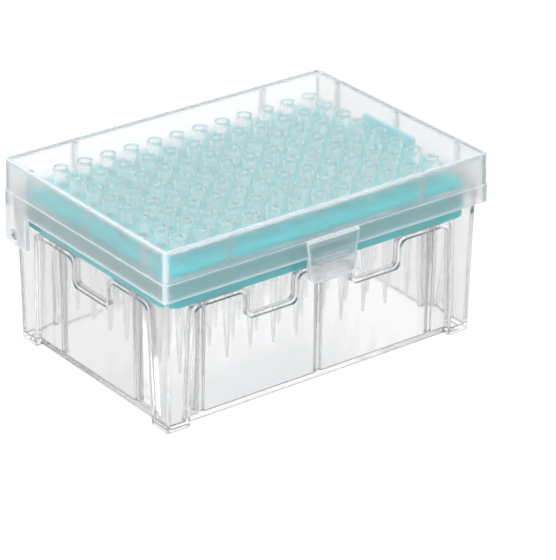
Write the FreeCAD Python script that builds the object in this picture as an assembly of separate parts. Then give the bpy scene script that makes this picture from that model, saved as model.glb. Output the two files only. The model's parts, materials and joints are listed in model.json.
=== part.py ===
import FreeCAD, Part
import math
import os

# Pipette tip box: a clear base and hinged lid, a coloured tray with 96 collared holes,
# and 96 filter tips standing in it. Millimetres, +Z up, the long front side faces -Y,
# the hinge is along the back (+Y) and the feet stand on Z = 0.

Vector = FreeCAD.Vector

# Tip grid: the microplate pitch that pipettes are built for.
PITCH = 9.0
COLUMNS = 12
ROWS = 8

# Base moulding.
END_MARGIN = 6.1
SIDE_MARGIN = 4.5
RIM_HEIGHT = 52.0
DRAFT_RISE = 0.7
BASE_WALL = 1.2
BASE_CORNER = 0.8
BASE_INNER_CORNER = 0.5
FLOOR_THICKNESS = 1.5
FOOT_HEIGHT = 0.4
FOOT_WIDTH = 2.6
PANEL_RECESS = 2.0
LEDGE_BELOW_RIM = 10.8
POST_FOOT_WIDTH = 8.1
POST_TOP_WIDTH = 10.2
PANEL_CORNER = 3.0
POCKET_WIDTH = 20.0
POCKET_DROP = 9.6
POCKET_CORNER = 2.6
POCKET_OFFSET = 20.4
RIB_WIDTH = 1.8
RIB_DEPTH = 1.4
RIB_FROM_END = 14.6
RIB_FROM_SIDE = 19.9
CATCH_RADIUS = 0.55
CATCH_LENGTH = 14.6
CATCH_BELOW_RIM = 3.6

# Hinge: a round boss on each end of the base, in an ear of the lid.
HINGE_FROM_BACK = 2.5
HINGE_BELOW_RIM = 13.8
BOSS_RADIUS = 1.9
BOSS_CLEARANCE = 0.07
BOSS_END_RECESS = 0.2
EAR_REACH = 6.9
EAR_BELOW_AXIS = 3.6
EAR_GAP = 0.5
EAR_FRONT_CORNER = 0.8
EAR_BACK_CORNER = 1.2

# Lid moulding.
LID_WALL = 1.4
LID_TOP_THICKNESS = 1.6
LID_END_GAP = 1.1
LID_SIDE_GAP = 1.45
LID_STEP = 0.25
LID_STEP_ABOVE_RIM = 0.3
LID_CORNER = 1.2
LID_INNER_CORNER = 0.6
LID_EDGE_ROUND = 0.35
LID_DRAFT = 0.2
SKIRT_BELOW_RIM = 5.7
TIP_HEADROOM = 1.9
LID_RIB_WIDTH = 1.2
LID_RIB_FROM_END = 23.2
LID_RIB_FROM_SIDE = 10.2
BACK_RIB_LIFT = 0.4

# Latch tab on the front of the lid.
LATCH_TOP_HALF_WIDTH = 10.2
LATCH_HALF_WIDTH = 9.3
LATCH_BELOW_RIM = 14.4
LATCH_PROUD = 0.8
LATCH_THICKNESS = 1.6
LATCH_LIP = 0.6
LATCH_LIP_HEIGHT = 2.9
LATCH_CORNER = 3.0
LATCH_BEAD_HALF_WIDTH = 6.5
LATCH_BEAD_RADIUS = 0.7
LATCH_BEAD_BELOW_CATCH = 3.9

# Tray moulding.
TRAY_END_GAP = 2.1
TRAY_SIDE_GAP = 1.85
TRAY_HEIGHT = 12.2
TRAY_WALL = 1.2
DECK_THICKNESS = 1.5
TRAY_CORNER = 5.0
TRAY_EDGE_ROUND = 2.0
TRAY_DRAFT = 0.15
TAB_WIDTH = 26.0
TAB_HEIGHT = 4.0
TAB_THICKNESS = 1.2
TAB_CORNER = 0.8
HOLE_CLEARANCE = 0.07
COLLAR_WALL = 0.95
COLLAR_DEPTH = 4.5

# Filter tip, measured from its open upper end downwards.
TIP_LENGTH = 45.3
TIP_HUB_HEIGHT = 6.15
TIP_RIM_HEIGHT = 1.7
TIP_RIM_STEP = 0.38
TIP_SEAT_WIDTH = 0.17
TIP_MOUTH_RADIUS = 1.9
TIP_MOUTH_CHAMFER = 0.3
TIP_NECK_WALL = 0.32
TIP_SHOULDER_WALL = 0.4
TIP_WAIST_BELOW_SHOULDER = 23.5
TIP_WAIST_RADIUS = 1.2
TIP_END_RADIUS = 0.42
TIP_END_WALL = 0.22
FILTER_BELOW_SHOULDER = 2.4
FILTER_LENGTH = 3.0
FILTER_CLEARANCE = 0.02

# Sizes that follow from the ones above.
FOOT_HALF_LENGTH = COLUMNS * PITCH / 2 + END_MARGIN
FOOT_HALF_WIDTH = ROWS * PITCH / 2 + SIDE_MARGIN
RIM_HALF_LENGTH = FOOT_HALF_LENGTH + DRAFT_RISE
RIM_HALF_WIDTH = FOOT_HALF_WIDTH + DRAFT_RISE
LEDGE_Z = RIM_HEIGHT - LEDGE_BELOW_RIM
FLOOR_Z = FOOT_HEIGHT + FLOOR_THICKNESS
PANEL_TOP_Z = LEDGE_Z - BASE_WALL
DECK_Z = LEDGE_Z + TRAY_HEIGHT
TIP_TOP_Z = DECK_Z + TIP_HUB_HEIGHT
CEILING_Z = TIP_TOP_Z + TIP_HEADROOM
LID_TOP_Z = CEILING_Z + LID_TOP_THICKNESS
LID_STEP_Z = RIM_HEIGHT + LID_STEP_ABOVE_RIM
SKIRT_Z = RIM_HEIGHT - SKIRT_BELOW_RIM
SKIRT_HALF_LENGTH = RIM_HALF_LENGTH + LID_END_GAP + LID_WALL
SKIRT_HALF_WIDTH = RIM_HALF_WIDTH + LID_SIDE_GAP + LID_WALL
HINGE_Y = RIM_HALF_WIDTH - HINGE_FROM_BACK
HINGE_Z = RIM_HEIGHT - HINGE_BELOW_RIM
TRAY_HALF_LENGTH = RIM_HALF_LENGTH - TRAY_END_GAP
TRAY_HALF_WIDTH = RIM_HALF_WIDTH - TRAY_SIDE_GAP
TIP_NECK_RADIUS = TIP_MOUTH_RADIUS + TIP_NECK_WALL
TIP_RIM_RADIUS = TIP_NECK_RADIUS + TIP_RIM_STEP
HOLE_RADIUS = TIP_NECK_RADIUS - TIP_SEAT_WIDTH
COLLAR_RADIUS = HOLE_RADIUS + COLLAR_WALL
TIP_SHOULDER_RADIUS = HOLE_RADIUS - HOLE_CLEARANCE
TIP_SHOULDER_BORE = TIP_SHOULDER_RADIUS - TIP_SHOULDER_WALL
TIP_END_BORE = TIP_END_RADIUS - TIP_END_WALL

# How far a cutting or joining solid runs past the faces it has to cross.
OVERRUN = 6.0


def on_plan(z):
    """Places outline points flat at a height: u is X, v is Y."""
    return lambda u, v: Vector(u, v, z)


def on_front(y):
    """Places outline points upright, seen from the front: u is X, v is Z."""
    return lambda u, v: Vector(u, y, v)


def on_end(x):
    """Places outline points upright, seen from the end: u is Y, v is Z."""
    return lambda u, v: Vector(x, u, v)


def rounded_outline(corners, place):
    """A closed wire through corners (u, v, radius), each rounded by a tangent arc."""
    points = [Vector(u, v, 0) for u, v, radius in corners]
    edges = []
    starts = []
    ends = []
    for index, (u, v, radius) in enumerate(corners):
        corner = points[index]
        back = (points[index - 1] - corner).normalize()
        ahead = (points[(index + 1) % len(points)] - corner).normalize()
        if radius == 0:
            starts.append(corner)
            ends.append(corner)
            continue
        half_angle = back.getAngle(ahead) / 2
        reach = radius / math.tan(half_angle)
        middle = (back + ahead).normalize()
        centre = corner + middle * (radius / math.sin(half_angle))
        starts.append(corner + back * reach)
        ends.append(corner + ahead * reach)
        waypoint = centre - middle * radius
        arc_points = [place(point.x, point.y) for point in (starts[-1], waypoint, ends[-1])]
        edges.append(Part.Arc(*arc_points).toShape())
    for index, end in enumerate(ends):
        start = starts[(index + 1) % len(starts)]
        edges.append(Part.makeLine(place(end.x, end.y), place(start.x, start.y)))
    return Part.Wire(Part.__sortEdges__(edges))


def prism(corners, place, run):
    """A straight solid: a rounded outline pushed along the vector run."""
    return Part.Face(rounded_outline(corners, place)).extrude(run)


def plan_ring(half_length, half_width, radius, z):
    """A rounded rectangle centred on the Z axis."""
    corners = [
        (-half_length, -half_width, radius),
        (half_length, -half_width, radius),
        (half_length, half_width, radius),
        (-half_length, half_width, radius),
    ]
    return rounded_outline(corners, on_plan(z))


def tapered_block(lower, upper, radius, bottom, top):
    """A rounded block between two heights; lower and upper are (half length, half width)."""
    wires = [plan_ring(*lower, radius, bottom), plan_ring(*upper, radius, top)]
    return Part.makeLoft(wires, True, True)


def shrunk(size, amount):
    """A (half length, half width) pair made smaller all round."""
    return (size[0] - amount, size[1] - amount)


def base_size(z):
    """Outer half length and half width of the base at a height, with its draft."""
    rise = DRAFT_RISE * z / RIM_HEIGHT
    return (FOOT_HALF_LENGTH + rise, FOOT_HALF_WIDTH + rise)


def base_block(inset, radius, bottom, top):
    """The base's drafted form, set in all round by inset."""
    lower = shrunk(base_size(bottom), inset)
    upper = shrunk(base_size(top), inset)
    return tapered_block(lower, upper, radius, bottom, top)


def panel_corners(half_side, pocket_centres, grow):
    """Outline of one side's recessed panel, with a notch for every pocket."""
    foot = half_side - POST_FOOT_WIDTH + grow
    shoulder = half_side - POST_TOP_WIDTH + grow
    top = PANEL_TOP_Z + grow
    notch = POCKET_WIDTH / 2 - grow
    notch_bottom = PANEL_TOP_Z - POCKET_DROP + grow
    corners = [(-foot, -OVERRUN, 0), (-shoulder, top, PANEL_CORNER)]
    for centre in pocket_centres:
        corners.append((centre - notch, top, POCKET_CORNER))
        corners.append((centre - notch, notch_bottom, POCKET_CORNER - grow / 2))
        corners.append((centre + notch, notch_bottom, POCKET_CORNER - grow / 2))
        corners.append((centre + notch, top, POCKET_CORNER))
    corners.append((shoulder, top, PANEL_CORNER))
    corners.append((foot, -OVERRUN, 0))
    return corners


def panel_prisms(grow):
    """Prisms through the four recessed panels: one along Y, one along X."""
    depth = RIM_HALF_WIDTH + OVERRUN
    reach = RIM_HALF_LENGTH + OVERRUN
    long_sides = panel_corners(FOOT_HALF_LENGTH, (-POCKET_OFFSET, POCKET_OFFSET), grow)
    short_sides = panel_corners(FOOT_HALF_WIDTH, (0.0,), grow)
    across = prism(long_sides, on_front(-depth), Vector(0, 2 * depth, 0))
    along = prism(short_sides, on_end(-reach), Vector(2 * reach, 0, 0))
    return across.fuse(along)


def base_form(inset, radius, bottom, grow):
    """Base block with its side panels set in, posts and pockets left standing."""
    block = base_block(inset, radius, bottom, RIM_HEIGHT)
    core = base_block(inset + PANEL_RECESS, radius, bottom, RIM_HEIGHT)
    return block.cut(panel_prisms(grow).cut(core))


def underside_slab(half_length, half_width):
    """A flat slab under the base that takes material off up to the foot height."""
    corner = Vector(-half_length, -half_width, -OVERRUN)
    return Part.makeBox(2 * half_length, 2 * half_width, FOOT_HEIGHT + OVERRUN, corner)


def underside_relief():
    """The space under the floor that leaves an L-shaped foot at each corner."""
    foot = (FOOT_HALF_LENGTH, FOOT_HALF_WIDTH)
    post_length, post_width = shrunk(foot, POST_FOOT_WIDTH)
    past_length, past_width = shrunk(foot, -OVERRUN)
    across = underside_slab(post_length, past_width)
    along = underside_slab(past_length, post_width)
    middle = underside_slab(*shrunk(foot, FOOT_WIDTH))
    return across.fuse([along, middle])


def base_ribs():
    """Upright ribs inside the panels that carry the lower edge of the tray."""
    outside = base_block(PANEL_RECESS, BASE_CORNER, FOOT_HEIGHT, LEDGE_Z)
    room = shrunk(base_size(0), PANEL_RECESS + BASE_WALL + RIB_DEPTH)
    inside = Part.makeBox(2 * room[0], 2 * room[1], LEDGE_Z, Vector(-room[0], -room[1], 0))
    ribs = []
    end_rib = FOOT_HALF_LENGTH - RIB_FROM_END
    side_rib = FOOT_HALF_WIDTH - RIB_FROM_SIDE
    for middle in (-end_rib, 0, end_rib):
        corner = Vector(middle - RIB_WIDTH / 2, -RIM_HALF_WIDTH, 0)
        ribs.append(Part.makeBox(RIB_WIDTH, 2 * RIM_HALF_WIDTH, LEDGE_Z, corner))
    for middle in (-side_rib, side_rib):
        corner = Vector(-RIM_HALF_LENGTH, middle - RIB_WIDTH / 2, 0)
        ribs.append(Part.makeBox(2 * RIM_HALF_LENGTH, RIB_WIDTH, LEDGE_Z, corner))
    return ribs[0].fuse(ribs[1:]).common(outside).cut(inside)


def hinge_boss(side):
    """Round boss on one end of the base; side is -1 for the left end and 1 for the right."""
    root = side * (RIM_HALF_LENGTH - BASE_WALL)
    length = BASE_WALL + LID_END_GAP + LID_WALL - BOSS_END_RECESS
    axis = Vector(side, 0, 0)
    return Part.makeCylinder(BOSS_RADIUS, length, Vector(root, HINGE_Y, HINGE_Z), axis)


def catch_ridge():
    """Half-round ridge on the front of the base that the latch tab rides over."""
    height = RIM_HEIGHT - CATCH_BELOW_RIM
    face = -base_size(height)[1]
    start = Vector(-CATCH_LENGTH / 2, face, height)
    return Part.makeCylinder(CATCH_RADIUS, CATCH_LENGTH, start, Vector(1, 0, 0))


def make_base():
    """Clear base: one moulding with posts, pockets, ledge, ribs, bosses and catch."""
    shell = base_form(0, BASE_CORNER, 0, 0)
    shell = shell.cut(underside_relief())
    cavity = base_form(BASE_WALL, BASE_INNER_CORNER, FLOOR_Z, BASE_WALL)
    additions = [base_ribs(), catch_ridge(), hinge_boss(-1), hinge_boss(1)]
    return shell.cut(cavity).fuse(additions).removeSplitter()


def skirt_ring(bottom, top):
    """The skirt's wall between two heights."""
    skirt = (SKIRT_HALF_LENGTH, SKIRT_HALF_WIDTH)
    mouth = shrunk(skirt, LID_WALL)
    outside = tapered_block(skirt, skirt, LID_CORNER, bottom, top)
    return outside.cut(tapered_block(mouth, mouth, LID_INNER_CORNER, bottom, top))


def lid_shell():
    """Lid walls and top: a five-sided cover with a slightly wider skirt."""
    skirt = (SKIRT_HALF_LENGTH, SKIRT_HALF_WIDTH)
    cover = shrunk(skirt, LID_STEP)
    cover_top = shrunk(cover, LID_DRAFT)
    outside = tapered_block(cover, cover_top, LID_CORNER, LID_STEP_Z, LID_TOP_Z)
    top_edges = [edge for edge in outside.Edges if edge.BoundBox.ZMin > LID_TOP_Z - LID_WALL]
    outside = outside.makeFillet(LID_EDGE_ROUND, top_edges)
    room = shrunk(cover, LID_WALL)
    room_top = shrunk(cover_top, LID_WALL)
    inside = tapered_block(room, room_top, LID_INNER_CORNER, LID_STEP_Z, CEILING_Z)
    return outside.cut(inside).fuse(skirt_ring(SKIRT_Z, LID_STEP_Z))


def lid_ribs():
    """Short upright ribs in the lid; those at the front and ends rest on the base's rim."""
    reach = SKIRT_HALF_LENGTH - LID_STEP - LID_WALL / 2
    depth = SKIRT_HALF_WIDTH - LID_STEP - LID_WALL / 2
    inner_reach = RIM_HALF_LENGTH - BASE_WALL / 2
    inner_depth = RIM_HALF_WIDTH - BASE_WALL / 2
    height = CEILING_Z - RIM_HEIGHT
    half = LID_RIB_WIDTH / 2
    end_rib = RIM_HALF_LENGTH - LID_RIB_FROM_END
    side_rib = RIM_HALF_WIDTH - LID_RIB_FROM_SIDE
    ribs = []
    for middle in (-side_rib, 0, side_rib):
        front = middle - half
        for start in (-reach, inner_reach):
            corner = Vector(start, front, RIM_HEIGHT)
            ribs.append(Part.makeBox(reach - inner_reach, LID_RIB_WIDTH, height, corner))
    for middle in (-end_rib, end_rib):
        left = middle - half
        front_corner = Vector(left, -depth, RIM_HEIGHT)
        back_corner = Vector(left, inner_depth, RIM_HEIGHT + BACK_RIB_LIFT)
        ribs.append(Part.makeBox(LID_RIB_WIDTH, depth - inner_depth, height, front_corner))
        back_height = height - BACK_RIB_LIFT
        ribs.append(Part.makeBox(LID_RIB_WIDTH, depth - inner_depth, back_height, back_corner))
    return ribs


def hinge_ears():
    """Two ears, round the hinge bosses: the skirt's wall carried down at the back corners."""
    front = HINGE_Y - EAR_REACH
    back = SKIRT_HALF_WIDTH
    bottom = HINGE_Z - EAR_BELOW_AXIS
    corners = [
        (front, SKIRT_Z, 0),
        (front, bottom, EAR_FRONT_CORNER),
        (back, bottom, EAR_BACK_CORNER),
        (back, SKIRT_Z, 0),
    ]
    reach = SKIRT_HALF_LENGTH + OVERRUN
    clear = RIM_HALF_LENGTH + EAR_GAP
    ends = prism(corners, on_end(-reach), Vector(2 * reach, 0, 0))
    between = prism(corners, on_end(-clear), Vector(2 * clear, 0, 0))
    eyes = Part.makeCylinder(
        BOSS_RADIUS + BOSS_CLEARANCE, 2 * reach, Vector(-reach, HINGE_Y, HINGE_Z), Vector(1, 0, 0)
    )
    return skirt_ring(bottom, SKIRT_Z).common(ends.cut(between)).cut(eyes)


def latch_tab():
    """Latch tab: a tapered plate on the front skirt with a finger lip along the bottom."""
    skirt = -SKIRT_HALF_WIDTH
    face = skirt - LATCH_PROUD
    inner = face + LATCH_THICKNESS
    lip = face - LATCH_LIP
    top = LID_STEP_Z
    bottom = RIM_HEIGHT - LATCH_BELOW_RIM
    lip_foot = bottom + LATCH_LIP
    lip_top = bottom + LATCH_LIP_HEIGHT
    root = skirt + LID_WALL / 2
    section = [
        (root, top, 0),
        (skirt, top, 0),
        (face, top - LATCH_PROUD, 0),
        (face, lip_top, 0),
        (lip, lip_foot, 0),
        (lip, bottom, 0),
        (face, bottom, 0),
        (inner, lip_top, 0),
        (inner, SKIRT_Z, 0),
        (root, SKIRT_Z + LATCH_PROUD, 0),
    ]
    outline = [
        (-LATCH_TOP_HALF_WIDTH, top, 0),
        (-LATCH_HALF_WIDTH, SKIRT_Z, 0),
        (-LATCH_HALF_WIDTH, bottom, LATCH_CORNER),
        (LATCH_HALF_WIDTH, bottom, LATCH_CORNER),
        (LATCH_HALF_WIDTH, SKIRT_Z, 0),
        (LATCH_TOP_HALF_WIDTH, top, 0),
    ]
    span = LATCH_TOP_HALF_WIDTH + OVERRUN
    plate = prism(section, on_end(-span), Vector(2 * span, 0, 0))
    front = prism(outline, on_front(lip - OVERRUN), Vector(0, 2 * OVERRUN + LATCH_THICKNESS, 0))
    bead_z = RIM_HEIGHT - CATCH_BELOW_RIM - LATCH_BEAD_BELOW_CATCH
    bead_start = Vector(-LATCH_BEAD_HALF_WIDTH, inner, bead_z)
    bead_length = 2 * LATCH_BEAD_HALF_WIDTH
    bead = Part.makeCylinder(LATCH_BEAD_RADIUS, bead_length, bead_start, Vector(1, 0, 0))
    return plate.common(front).fuse(bead)


def make_lid():
    """Clear lid: one moulding with stop ribs, hinge ears and the latch tab."""
    additions = lid_ribs() + [hinge_ears(), latch_tab()]
    return lid_shell().fuse(additions).removeSplitter()


def tip_places():
    """Column by column, the (x, y) of every tip; the first row is at the back."""
    columns = []
    for column in range(COLUMNS):
        x = (column - (COLUMNS - 1) / 2) * PITCH
        columns.append([(x, ((ROWS - 1) / 2 - row) * PITCH) for row in range(ROWS)])
    return columns


def tray_tab(side):
    """Upright finger tab in the middle of one end of the tray, for lifting it out."""
    half = TAB_WIDTH / 2
    top = DECK_Z + TAB_HEIGHT
    foot = DECK_Z - TRAY_EDGE_ROUND - DECK_THICKNESS
    corners = [
        (-half, foot, 0),
        (half, foot, 0),
        (half, top, TAB_CORNER),
        (-half, top, TAB_CORNER),
    ]
    outer = TRAY_HALF_LENGTH - TRAY_DRAFT
    start = min(side * outer, side * (outer - TAB_THICKNESS))
    return prism(corners, on_end(start), Vector(TAB_THICKNESS, 0, 0))


def make_tray():
    """Tray: a deck with collared holes, a skirt that stands on the ledge, and two tabs."""
    foot = (TRAY_HALF_LENGTH, TRAY_HALF_WIDTH)
    deck = shrunk(foot, TRAY_DRAFT)
    outside = tapered_block(foot, deck, TRAY_CORNER, LEDGE_Z, DECK_Z)
    deck_edges = [edge for edge in outside.Edges if edge.BoundBox.ZMin > DECK_Z - TRAY_WALL]
    outside = outside.makeFillet(TRAY_EDGE_ROUND, deck_edges)
    ceiling = DECK_Z - DECK_THICKNESS
    room_foot = shrunk(foot, TRAY_WALL)
    room_top = shrunk(deck, TRAY_WALL)
    inside = tapered_block(room_foot, room_top, TRAY_CORNER - TRAY_WALL, LEDGE_Z, ceiling)
    collars = []
    holes = []
    hole_length = COLLAR_DEPTH + DECK_THICKNESS + 2 * OVERRUN
    for column in tip_places():
        for x, y in column:
            collar_foot = Vector(x, y, ceiling - COLLAR_DEPTH)
            collars.append(Part.makeCylinder(COLLAR_RADIUS, COLLAR_DEPTH, collar_foot))
            hole_foot = collar_foot - Vector(0, 0, OVERRUN)
            holes.append(Part.makeCylinder(HOLE_RADIUS, hole_length, hole_foot))
    shell = outside.cut(inside).fuse([tray_tab(-1), tray_tab(1)]).removeSplitter()
    return shell.fuse(collars).cut(holes)


def revolved(profile, x, y):
    """A solid of revolution about the upright axis at (x, y) from (radius, z) points."""
    points = [Vector(x + radius, y, z) for radius, z in profile]
    face = Part.Face(Part.makePolygon(points + points[:1]))
    return face.revolve(Vector(x, y, 0), Vector(0, 0, 1), 360)


def tip_bore(z):
    """Radius of the tip's bore at a height below its shoulder."""
    share = (DECK_Z - z) / (TIP_LENGTH - TIP_HUB_HEIGHT)
    return TIP_SHOULDER_BORE + share * (TIP_END_BORE - TIP_SHOULDER_BORE)


def make_tip(x, y):
    """One hollow tip; the foot of its neck rests on the tray's deck."""
    end_z = TIP_TOP_Z - TIP_LENGTH
    waist_z = DECK_Z - TIP_WAIST_BELOW_SHOULDER
    rim_z = TIP_TOP_Z - TIP_RIM_HEIGHT
    profile = [
        (TIP_END_RADIUS, end_z),
        (TIP_WAIST_RADIUS, waist_z),
        (TIP_SHOULDER_RADIUS, DECK_Z),
        (TIP_NECK_RADIUS, DECK_Z),
        (TIP_NECK_RADIUS, rim_z - TIP_RIM_STEP),
        (TIP_RIM_RADIUS, rim_z),
        (TIP_RIM_RADIUS, TIP_TOP_Z),
        (TIP_MOUTH_RADIUS + TIP_MOUTH_CHAMFER, TIP_TOP_Z),
        (TIP_MOUTH_RADIUS, TIP_TOP_Z - TIP_MOUTH_CHAMFER),
        (TIP_SHOULDER_BORE, DECK_Z),
        (TIP_END_BORE, end_z),
    ]
    return revolved(profile, x, y)


def make_filter(x, y):
    """One porous plug, a short frustum held by the taper of the tip's bore."""
    top = DECK_Z - FILTER_BELOW_SHOULDER
    bottom = top - FILTER_LENGTH
    lower = tip_bore(bottom) - FILTER_CLEARANCE
    upper = tip_bore(top) - FILTER_CLEARANCE
    return Part.makeCone(lower, upper, FILTER_LENGTH, Vector(x, y, bottom))


def write_node(name, shape):
    """Writes one node's shape to its own STEP file."""
    shape.exportStep(os.path.join("parts", name + ".step"))


os.makedirs("parts", exist_ok=True)
write_node("base", make_base())
write_node("lid", make_lid())
write_node("tray", make_tray())
for number, places in enumerate(tip_places(), start=1):
    label = str(number).zfill(2)
    tips = [make_tip(x, y) for x, y in places]
    filters = [make_filter(x, y) for x, y in places]
    write_node("tips_column_" + label, Part.makeCompound(tips))
    write_node("filters_column_" + label, Part.makeCompound(filters))
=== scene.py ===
import json
import math

import bmesh
import bpy
from mathutils import Matrix, Quaternion, Vector

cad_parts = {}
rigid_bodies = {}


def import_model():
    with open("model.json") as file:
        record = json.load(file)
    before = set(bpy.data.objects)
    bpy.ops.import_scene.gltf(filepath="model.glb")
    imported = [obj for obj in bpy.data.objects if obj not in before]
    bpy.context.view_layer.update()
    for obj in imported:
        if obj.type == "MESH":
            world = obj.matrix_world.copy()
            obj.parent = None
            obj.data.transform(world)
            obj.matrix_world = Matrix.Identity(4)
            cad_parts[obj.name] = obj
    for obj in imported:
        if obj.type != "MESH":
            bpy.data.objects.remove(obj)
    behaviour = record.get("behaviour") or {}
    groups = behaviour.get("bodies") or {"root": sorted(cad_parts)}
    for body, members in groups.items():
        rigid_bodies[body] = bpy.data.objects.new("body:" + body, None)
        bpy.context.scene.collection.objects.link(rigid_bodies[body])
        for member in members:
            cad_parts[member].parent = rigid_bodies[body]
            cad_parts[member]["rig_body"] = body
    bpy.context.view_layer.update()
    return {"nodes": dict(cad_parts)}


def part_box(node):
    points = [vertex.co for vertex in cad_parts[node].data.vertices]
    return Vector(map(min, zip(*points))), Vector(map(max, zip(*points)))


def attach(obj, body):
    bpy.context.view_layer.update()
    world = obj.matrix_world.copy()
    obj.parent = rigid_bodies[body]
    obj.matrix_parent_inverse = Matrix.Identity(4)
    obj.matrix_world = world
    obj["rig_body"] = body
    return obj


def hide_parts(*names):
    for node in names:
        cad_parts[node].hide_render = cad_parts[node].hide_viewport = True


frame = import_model()

# ---------------------------------------------------------------------------
# Camera
# A long lens a little under a metre away. It looks down on the latch side and the left
# end of the closed box.
# ---------------------------------------------------------------------------

# Lengths are in metres. Those of the lens itself are in millimetres, as lens makers give them.
MM = 0.001
AIM = Vector((-24.09, -48.05, 45.0)) * MM
AZIMUTH = math.radians(-37.54)
ELEVATION = math.radians(26.08)
ROLL = math.radians(0.56)
DISTANCE = 935 * MM
NEAREST = 50 * MM
SENSOR_WIDTH = 36
FOCAL_LENGTH = 198.25

to_camera = Vector((
    math.sin(AZIMUTH) * math.cos(ELEVATION),
    -math.cos(AZIMUTH) * math.cos(ELEVATION),
    math.sin(ELEVATION),
))
lens = bpy.data.cameras.new("camera")
lens.sensor_width = SENSOR_WIDTH
lens.lens = FOCAL_LENGTH
lens.clip_start = NEAREST
camera = bpy.data.objects.new("camera", lens)
camera.location = AIM + to_camera * DISTANCE
camera.rotation_mode = "QUATERNION"
camera.rotation_quaternion = to_camera.to_track_quat("Z", "Y") @ Quaternion((0, 0, 1), ROLL)
bpy.context.scene.collection.objects.link(camera)
bpy.context.scene.camera = camera

# ---------------------------------------------------------------------------
# Base
# One thin clear polypropylene moulding: corner posts, set-in panels with pockets, ribs,
# ledge, feet, hinge bosses. Injected in a polished mould, so glossy with a faint flow ripple.
# ---------------------------------------------------------------------------

# How closely the facets of a CAD mesh are joined, and which of its edges stay sharp.
MERGE_DISTANCE = 0.002 * MM
FLAT_WITHIN = math.radians(0.6)
SHARP_OVER = math.radians(32)
ONLY_THE_BROADEST = 100
POLYPROPYLENE_IOR = 1.49

BASE_CLEAR = (0.963, 0.964, 0.970)
BASE_CLEARNESS = 1
# Painted shade: the end walls of the base are darker by this share.
BASE_END_SHADE = 0.17
BASE_GLOSS = (0.05, 0.12)
BASE_RIPPLE = 0.0005 * MM

# An edge is felt for within its reach by a few probes, and is full where they turn this much.
EDGE_PROBES = 4
EDGE_TURN = 0.02
BASE_EDGE = 0.85 * MM
# Painted shade: the grey and the lower clearness of the base near its edges stand in for the dark
# lines that light draws where clear walls turn.
BASE_EDGE_PAINTED_SHADE = (0.56, 0.57, 0.59)
BASE_EDGE_CLEARNESS = 0.45
# Painted contact shade: the lowest edges of the base darken to this grey between these heights.
CONTACT_SHADE_GREY = (0.20, 0.20, 0.21)
CONTACT_SHADE_BELOW = 2.2 * MM
UNSHADED_ABOVE = 3.0 * MM

# Every pattern of noise is its cells to the metre and its steps of finer detail.
CLEAR_CLOUDS = (60, 3)
CLOUD_DRIFT = 0.15
BASE_SMEARS = (90, 3)
BASE_WAVES = (60, 1)


def moulded_copy(node_name, piece_name):
    """A smooth copy of a node, its flat facets joined into broad faces."""
    mesh = bmesh.new()
    mesh.from_mesh(frame["nodes"][node_name].data)
    bmesh.ops.remove_doubles(mesh, verts=mesh.verts, dist=MERGE_DISTANCE)
    bmesh.ops.dissolve_limit(
        mesh, angle_limit=FLAT_WITHIN, verts=mesh.verts, edges=mesh.edges, delimit=set()
    )
    data = bpy.data.meshes.new(piece_name)
    mesh.to_mesh(data)
    mesh.free()
    return level_faces(piece_in_place_of(node_name, data, piece_name))


def level_faces(piece):
    """Keeps the broad faces flat in the light, so that only the curved ones turn it."""
    weighted = piece.modifiers.new("level_faces", "WEIGHTED_NORMAL")
    weighted.keep_sharp = True
    weighted.weight = ONLY_THE_BROADEST
    graph = bpy.context.evaluated_depsgraph_get()
    piece.data = bpy.data.meshes.new_from_object(piece.evaluated_get(graph))
    piece.modifiers.clear()
    return piece


def piece_in_place_of(node_name, data, piece_name):
    """Puts a mesh in the scene in the place of a CAD node, riding on the node's body."""
    data.polygons.foreach_set("use_smooth", [True] * len(data.polygons))
    data.set_sharp_from_angle(angle=SHARP_OVER)
    piece = bpy.data.objects.new(piece_name, data)
    bpy.context.scene.collection.objects.link(piece)
    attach(piece, frame["nodes"][node_name]["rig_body"])
    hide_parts(node_name)
    return piece


def plastic(name, colour, clearness):
    """A new material with the colour and clearness of one plastic; returns it and its shader."""
    material = bpy.data.materials.new(name)
    material.use_nodes = True
    shader = material.node_tree.nodes["Principled BSDF"]
    shader.inputs["Base Color"].default_value = (*colour, 1)
    shader.inputs["Transmission Weight"].default_value = clearness
    shader.inputs["IOR"].default_value = POLYPROPYLENE_IOR
    return material, shader


def noise_on(material, pattern):
    """Noise from 0 to 1 that is fixed to the piece."""
    nodes, links = material.node_tree.nodes, material.node_tree.links
    place = nodes.new("ShaderNodeTexCoord")
    noise = nodes.new("ShaderNodeTexNoise")
    cells, finer_steps = pattern
    noise.inputs["Scale"].default_value = cells
    noise.inputs["Detail"].default_value = finer_steps
    links.new(place.outputs["Object"], noise.inputs["Vector"])
    return noise.outputs["Fac"]


def spread(material, value, low, high):
    """Takes a 0 to 1 value to the range low to high."""
    ranged = material.node_tree.nodes.new("ShaderNodeMapRange")
    ranged.inputs["To Min"].default_value = low
    ranged.inputs["To Max"].default_value = high
    material.node_tree.links.new(value, ranged.inputs["Value"])
    return ranged.outputs["Result"]


def uneven_gloss(material, shader, pattern, gloss):
    """Roughness that drifts between the two values of gloss."""
    drift = spread(material, noise_on(material, pattern), *gloss)
    material.node_tree.links.new(drift, shader.inputs["Roughness"])


def ripple(material, shader, pattern, depth):
    """Fine unevenness of the surface, depth in metres."""
    bump = material.node_tree.nodes.new("ShaderNodeBump")
    bump.inputs["Distance"].default_value = depth
    bump.inputs["Strength"].default_value = 1
    material.node_tree.links.new(noise_on(material, pattern), bump.inputs["Height"])
    material.node_tree.links.new(bump.outputs["Normal"], shader.inputs["Normal"])


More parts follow.
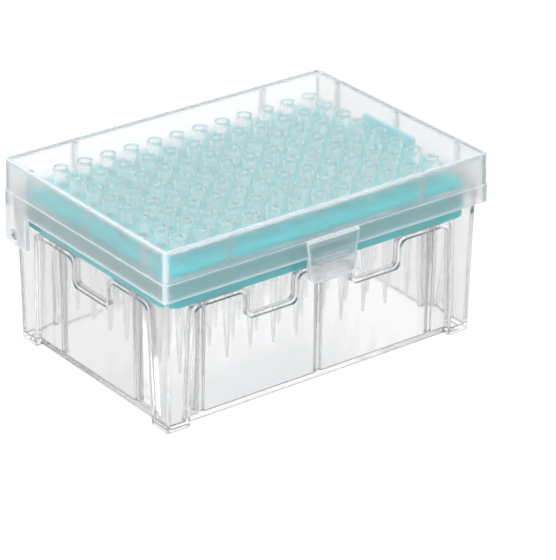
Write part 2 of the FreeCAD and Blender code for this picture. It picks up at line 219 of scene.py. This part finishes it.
def by_facing(material, axis, others, facing):
    """One value on the faces of a piece that look along an axis and another on the others."""
    nodes, links = material.node_tree.nodes, material.node_tree.links
    place = nodes.new("ShaderNodeTexCoord")
    parts = nodes.new("ShaderNodeSeparateXYZ")
    unsigned = nodes.new("ShaderNodeMath")
    unsigned.operation = "ABSOLUTE"
    choice = nodes.new("ShaderNodeMix")
    links.new(place.outputs["Normal"], parts.inputs[0])
    links.new(parts.outputs[axis], unsigned.inputs[0])
    links.new(unsigned.outputs[0], choice.inputs["Factor"])
    links.new(others, choice.inputs["A"])
    links.new(facing, choice.inputs["B"])
    return choice.outputs["Result"]


def mottling_and_painted_shade(material, shader, colour, shade, value):
    """Colour that follows a 0 to 1 value; at 0 it is darker by shade. It serves for random mottling
    and for painted shade.
    """
    ramp = material.node_tree.nodes.new("ShaderNodeValToRGB")
    ramp.color_ramp.elements[0].color = (*[part * (1 - shade) for part in colour], 1)
    ramp.color_ramp.elements[1].color = (*colour, 1)
    material.node_tree.links.new(value, ramp.inputs["Fac"])
    material.node_tree.links.new(ramp.outputs["Color"], shader.inputs["Base Color"])


def ends_with_painted_shade(material, shader, colour, shade):
    """Clear colour with painted shade: darker by shade on the end walls, and drifting a little
    everywhere at random.
    """
    cloud = noise_on(material, CLEAR_CLOUDS)
    long_sides = spread(material, cloud, 1 - CLOUD_DRIFT, 1)
    ends = spread(material, cloud, 0, CLOUD_DRIFT)
    mottling_and_painted_shade(material, shader, colour, shade, by_facing(material, "X", long_sides, ends))


def painted_edge_shade_and_light(material, shader, reach, clearness, grey, edge_clearness):
    """Painted shade and light: makes a clear plastic greyer and milkier close to its edges, in
    place of the lines that light draws where clear walls turn.

    Returns the socket that holds the grey.
    """
    nodes, links = material.node_tree.nodes, material.node_tree.links
    rounded = nodes.new("ShaderNodeBevel")
    rounded.samples = EDGE_PROBES
    rounded.inputs["Radius"].default_value = reach
    surface = nodes.new("ShaderNodeNewGeometry")
    straightness = nodes.new("ShaderNodeVectorMath")
    straightness.operation = "DOT_PRODUCT"
    on_face = nodes.new("ShaderNodeMapRange")
    on_face.inputs["From Min"].default_value = 1 - EDGE_TURN
    colour = nodes.new("ShaderNodeMix")
    colour.data_type = "RGBA"
    # The sockets for colours come after those for numbers and vectors, which share their names.
    edge_colour, face_colour, mixed_colour = colour.inputs[6], colour.inputs[7], colour.outputs[2]
    edge_colour.default_value = (*grey, 1)
    links.new(rounded.outputs["Normal"], straightness.inputs[0])
    links.new(surface.outputs["Normal"], straightness.inputs[1])
    links.new(straightness.outputs["Value"], on_face.inputs["Value"])
    links.new(on_face.outputs["Result"], colour.inputs[0])
    links.new(shader.inputs["Base Color"].links[0].from_socket, face_colour)
    links.new(mixed_colour, shader.inputs["Base Color"])
    links.new(
        spread(material, on_face.outputs["Result"], edge_clearness, clearness),
        shader.inputs["Transmission Weight"],
    )
    return edge_colour


def painted_contact_shade(material, edge_colour, unshaded_grey):
    """Painted contact shade: darkens the lowest edges of a piece, where it stands on the floor."""
    nodes, links = material.node_tree.nodes, material.node_tree.links
    place = nodes.new("ShaderNodeTexCoord")
    height = nodes.new("ShaderNodeSeparateXYZ")
    low = nodes.new("ShaderNodeMapRange")
    low.inputs["From Min"].default_value = CONTACT_SHADE_BELOW
    low.inputs["From Max"].default_value = UNSHADED_ABOVE
    ramp = nodes.new("ShaderNodeValToRGB")
    ramp.color_ramp.elements[0].color = (*CONTACT_SHADE_GREY, 1)
    ramp.color_ramp.elements[1].color = (*unshaded_grey, 1)
    links.new(place.outputs["Object"], height.inputs[0])
    links.new(height.outputs["Z"], low.inputs["Value"])
    links.new(low.outputs["Result"], ramp.inputs["Fac"])
    links.new(ramp.outputs["Color"], edge_colour)


base_plastic, base_shader = plastic("clear_polypropylene_base", BASE_CLEAR, BASE_CLEARNESS)
# Painted shade on the end walls of the base, with a little random drift.
ends_with_painted_shade(base_plastic, base_shader, BASE_CLEAR, BASE_END_SHADE)
uneven_gloss(base_plastic, base_shader, BASE_SMEARS, BASE_GLOSS)
ripple(base_plastic, base_shader, BASE_WAVES, BASE_RIPPLE)
# Painted shade along the edges of the base.
base_painted_edges = painted_edge_shade_and_light(
    base_plastic, base_shader, BASE_EDGE, BASE_CLEARNESS, BASE_EDGE_PAINTED_SHADE, BASE_EDGE_CLEARNESS
)
# Painted contact shade on the lowest edges of the base.
painted_contact_shade(base_plastic, base_painted_edges, BASE_EDGE_PAINTED_SHADE)
base = moulded_copy("base", "base_moulding")
base.data.materials.append(base_plastic)

# ---------------------------------------------------------------------------
# Tray
# One teal polypropylene moulding with a satin face: a deck with 96 holes, a skirt that
# stands on the ledge of the base and a finger tab at each end.
# ---------------------------------------------------------------------------

TRAY_TEAL = (0.07, 0.70, 0.745)
TRAY_SHADE = 0.06
TRAY_DEPTH = 0.8
TRAY_SCATTER = 1.6 * MM
EVERY_COLOUR_ALIKE = (1, 1, 1)
TRAY_SATIN = (0.30, 0.42)
TRAY_GRAIN = 0.004 * MM
TRAY_CLOUDS = (45, 3)
TRAY_SMEARS = (400, 2)
TRAY_GRAINS = (2500, 2)

tray_plastic, tray_shader = plastic("teal_polypropylene", TRAY_TEAL, 0)
tray_shader.inputs["Subsurface Weight"].default_value = TRAY_DEPTH
tray_shader.inputs["Subsurface Radius"].default_value = EVERY_COLOUR_ALIKE
tray_shader.inputs["Subsurface Scale"].default_value = TRAY_SCATTER
mottling_and_painted_shade(tray_plastic, tray_shader, TRAY_TEAL, TRAY_SHADE, noise_on(tray_plastic, TRAY_CLOUDS))
uneven_gloss(tray_plastic, tray_shader, TRAY_SMEARS, TRAY_SATIN)
ripple(tray_plastic, tray_shader, TRAY_GRAINS, TRAY_GRAIN)
tray = moulded_copy("tray", "tray_moulding")
tray.data.materials.append(tray_plastic)

# ---------------------------------------------------------------------------
# Filter tips
# Thin hollow cones of clear polypropylene with a rimmed neck that rests on the deck,
# moulded with two fine measuring rings. They are set into the tray column by column.
# ---------------------------------------------------------------------------

TIP_PITCH = 9 * MM
ROWS = 8
COLUMNS = 12
ROUND_SEGMENTS = 32
TIP_CLEAR = (0.985, 0.99, 0.99)
TIP_CLEARNESS = 0.98
TIP_GLOSS = (0.04, 0.10)
TIP_SMEARS = (220, 2)


def measuring_ring(radius, height):
    """Outline of a ring that stands out a hair from the cone, which narrows below it."""
    return [
        (radius, height), (radius + 0.03, height - 0.15),
        (radius + 0.03, height - 0.30), (radius - 0.02, height - 0.45),
    ]


# Radius, and height from the mouth, in millimetres.
TIP_RIM = [(2.20, 0), (2.45, 0), (2.56, -0.05), (2.60, -0.15), (2.60, -1.62), (2.56, -1.72)]
TIP_NECK = [(2.26, -2.02), (2.22, -2.12), (2.22, -6.02)]
TIP_SHOULDER = [(2.17, -6.12), (2.08, -6.15), (1.98, -6.17)]
TIP_TAPER = [(1.20, -29.65), (0.45, -44.9)]
TIP_END = [(0.42, -45.15), (0.36, -45.3), (0.25, -45.3)]
TIP_BORE = [
    (0.20, -45.2), (1.02, -28.5), (1.56, -8.0), (1.58, -6.2), (1.88, -0.5), (1.92, -0.28),
    (2.12, -0.04),
]
TIP_OUTLINE = [
    *TIP_RIM, *TIP_NECK, *TIP_SHOULDER,
    *measuring_ring(1.78, -12.0), *measuring_ring(1.56, -18.6),
    *TIP_TAPER, *TIP_END, *TIP_BORE,
]


def spun(outline, segments):
    """Corners and faces of a hollow solid: an outline in millimetres, spun about Z."""
    corners = []
    for radius, height in outline:
        for step in range(segments):
            turn = 2 * math.pi * step / segments
            corners.append((
                radius * MM * math.cos(turn), radius * MM * math.sin(turn), height * MM
            ))
    faces = []
    for ring in range(len(outline)):
        next_ring = (ring + 1) % len(outline)
        for step in range(segments):
            next_step = (step + 1) % segments
            faces.append((
                ring * segments + step, next_ring * segments + step,
                next_ring * segments + next_step, ring * segments + next_step,
            ))
    return corners, faces


def column_of(outline, segments, name):
    """One mesh with a spun solid at each place of a column."""
    corners, faces = spun(outline, segments)
    all_corners = []
    all_faces = []
    for row in range(ROWS):
        shift = ((ROWS - 1) / 2 - row) * TIP_PITCH
        first = len(all_corners)
        all_corners += [(x, y + shift, z) for x, y, z in corners]
        all_faces += [tuple(first + corner for corner in face) for face in faces]
    data = bpy.data.meshes.new(name)
    data.from_pydata(all_corners, [], all_faces)
    shape = bmesh.new()
    shape.from_mesh(data)
    bmesh.ops.recalc_face_normals(shape, faces=shape.faces)
    shape.to_mesh(data)
    shape.free()
    return data


tip_plastic, tip_shader = plastic("natural_polypropylene_tip", TIP_CLEAR, TIP_CLEARNESS)
uneven_gloss(tip_plastic, tip_shader, TIP_SMEARS, TIP_GLOSS)
tip_column = column_of(TIP_OUTLINE, ROUND_SEGMENTS, "tip_column")
tip_column.materials.append(tip_plastic)
for column in range(1, COLUMNS + 1):
    node_name = "tips_column_%02d" % column
    low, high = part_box(node_name)
    data = tip_column.copy()
    data.transform(Matrix.Translation(((low.x + high.x) / 2, 0, high.z)))
    tips = piece_in_place_of(node_name, data, "filter_tips_%02d" % column)

# ---------------------------------------------------------------------------
# Filters
# A short white plug pressed into every tip: polyethylene grains sintered together, so matt,
# porous and a little uneven in tone.
# ---------------------------------------------------------------------------

FILTER_WHITE = (0.86, 0.86, 0.85)
FILTER_SHADE = 0.10
FILTER_MATT = 0.9
FILTER_PORE_DEPTH = 0.03 * MM
FILTER_CLOUDS = (3000, 3)
FILTER_PORES = (5000, 3)

filter_grains, filter_shader = plastic("porous_polyethylene", FILTER_WHITE, 0)
filter_shader.inputs["Roughness"].default_value = FILTER_MATT
mottling_and_painted_shade(
    filter_grains, filter_shader, FILTER_WHITE, FILTER_SHADE, noise_on(filter_grains, FILTER_CLOUDS)
)
ripple(filter_grains, filter_shader, FILTER_PORES, FILTER_PORE_DEPTH)
for column in range(1, COLUMNS + 1):
    plugs = frame["nodes"]["filters_column_%02d" % column]
    plugs.data.materials.clear()
    plugs.data.materials.append(filter_grains)

# ---------------------------------------------------------------------------
# Lid
# One clear polypropylene moulding with stop ribs, ears and the latch tab; its ears snap
# over the bosses of the base. The walls are lightly frosted, the top is smoother.
# ---------------------------------------------------------------------------

LID_CLEAR = (0.980, 0.983, 0.987)
LID_CLEARNESS = 0.985
# Painted shade: the end walls of the lid are darker by this share.
LID_END_SHADE = 0.12
LID_WALL_FROST = (0.28, 0.38)
LID_TOP_GLOSS = (0.08, 0.14)
LID_RIPPLE = 0.002 * MM
LID_EDGE = 1.5 * MM
# Painted shade and light: the pale blue-grey, milkier tone of the lid near its edges stands in for
# the grey lines and bright bands that light draws there.
LID_EDGE_PAINTED_SHADE_AND_LIGHT = (0.70, 0.79, 0.84)
LID_EDGE_CLEARNESS = 0.5
LID_SMEARS = (70, 3)
LID_WAVES = (50, 1)

lid_plastic, lid_shader = plastic("clear_polypropylene_lid", LID_CLEAR, LID_CLEARNESS)
# Painted shade on the end walls of the lid, with a little random drift.
ends_with_painted_shade(lid_plastic, lid_shader, LID_CLEAR, LID_END_SHADE)
lid_smears = noise_on(lid_plastic, LID_SMEARS)
lid_roughness = by_facing(
    lid_plastic, "Z",
    spread(lid_plastic, lid_smears, *LID_WALL_FROST),
    spread(lid_plastic, lid_smears, *LID_TOP_GLOSS),
)
lid_plastic.node_tree.links.new(lid_roughness, lid_shader.inputs["Roughness"])
ripple(lid_plastic, lid_shader, LID_WAVES, LID_RIPPLE)
# Painted shade and light along the edges of the lid.
painted_edge_shade_and_light(lid_plastic, lid_shader, LID_EDGE, LID_CLEARNESS, LID_EDGE_PAINTED_SHADE_AND_LIGHT, LID_EDGE_CLEARNESS)
lid = moulded_copy("lid", "lid_moulding")
lid.data.materials.append(lid_plastic)

# ---------------------------------------------------------------------------
# Floor
# The opal plastic top of a light table, pale and matt. It glows evenly round the box and
# fades further out, close to the brightness of the dome's foot.
# ---------------------------------------------------------------------------

FLOOR_HALF = 3
FLOOR_CORNERS = [(-1, -1), (1, -1), (1, 1), (-1, 1)]
FLOOR_PALE = (0.05, 0.05, 0.05)
FLOOR_MATT = 0.9
FLOOR_GLOW = 1.03
FLOOR_DIM = 0.27
GLOW_REACH = 0.55
GLOW_END = 1.2

floor_finish, floor_shader = plastic("pale_light_table", FLOOR_PALE, 0)
floor_shader.inputs["Roughness"].default_value = FLOOR_MATT
floor_shader.inputs["Specular IOR Level"].default_value = 0
floor_shader.inputs["Emission Color"].default_value = (1, 1, 1, 1)
floor_nodes, floor_links = floor_finish.node_tree.nodes, floor_finish.node_tree.links
spot = floor_nodes.new("ShaderNodeTexCoord")
from_the_middle = floor_nodes.new("ShaderNodeVectorMath")
from_the_middle.operation = "LENGTH"
fading = floor_nodes.new("ShaderNodeMapRange")
fading.inputs["From Min"].default_value = GLOW_REACH
fading.inputs["From Max"].default_value = GLOW_END
fading.inputs["To Min"].default_value = FLOOR_GLOW
fading.inputs["To Max"].default_value = FLOOR_DIM
floor_links.new(spot.outputs["Object"], from_the_middle.inputs[0])
floor_links.new(from_the_middle.outputs["Value"], fading.inputs["Value"])
floor_links.new(fading.outputs["Result"], floor_shader.inputs["Emission Strength"])
floor_data = bpy.data.meshes.new("floor")
floor_data.from_pydata(
    [(x * FLOOR_HALF, y * FLOOR_HALF, 0) for x, y in FLOOR_CORNERS], [], [(0, 1, 2, 3)]
)
floor_data.materials.append(floor_finish)
floor = bpy.data.objects.new("floor", floor_data)
bpy.context.scene.collection.objects.link(floor)

# ---------------------------------------------------------------------------
# Light
# A wide soft dome, dim at its foot and full from halfway up, with one large soft lamp
# above the left end. Clear walls stand one behind another, so light may pass many of them.
# ---------------------------------------------------------------------------

DOME_FOOT = (0.2, 0.2, 0.205, 1)
DOME_CROWN = (1, 1, 1, 1)
FULL_ABOVE = 0.5
DOME_STRENGTH = 1.6
LAMP_POWER = 9
LAMP_LENGTH = 0.8
LAMP_WIDTH = 0.5
LAMP_PLACE = (-0.9, -0.25, 0.55)
LIT_POINT = Vector((0, 0, 0.04))
CLEAR_BOUNCES = 128
SHADE_BOUNCES = 32

scene = bpy.context.scene
world = bpy.data.worlds.new("studio")
scene.world = world
world.use_nodes = True
dome_nodes, dome_links = world.node_tree.nodes, world.node_tree.links
direction = dome_nodes.new("ShaderNodeTexCoord")
upward = dome_nodes.new("ShaderNodeSeparateXYZ")
dome = dome_nodes.new("ShaderNodeValToRGB")
dome.color_ramp.elements[0].position = 0
dome.color_ramp.elements[0].color = DOME_FOOT
dome.color_ramp.elements[1].position = FULL_ABOVE
dome.color_ramp.elements[1].color = DOME_CROWN
dome_links.new(direction.outputs["Generated"], upward.inputs[0])
dome_links.new(upward.outputs["Z"], dome.inputs["Fac"])
dome_links.new(dome.outputs["Color"], dome_nodes["Background"].inputs["Color"])
dome_nodes["Background"].inputs["Strength"].default_value = DOME_STRENGTH

lamp_data = bpy.data.lights.new("soft_lamp", "AREA")
lamp_data.shape = "RECTANGLE"
lamp_data.size = LAMP_LENGTH
lamp_data.size_y = LAMP_WIDTH
lamp_data.energy = LAMP_POWER
lamp = bpy.data.objects.new("soft_lamp", lamp_data)
lamp.location = LAMP_PLACE
lamp.rotation_mode = "QUATERNION"
lamp.rotation_quaternion = (lamp.location - LIT_POINT).to_track_quat("Z", "Y")
scene.collection.objects.link(lamp)

scene.view_settings.view_transform = "Standard"
scene.cycles.max_bounces = CLEAR_BOUNCES
scene.cycles.transmission_bounces = CLEAR_BOUNCES
scene.cycles.glossy_bounces = CLEAR_BOUNCES
scene.cycles.transparent_max_bounces = CLEAR_BOUNCES
scene.cycles.diffuse_bounces = SHADE_BOUNCES
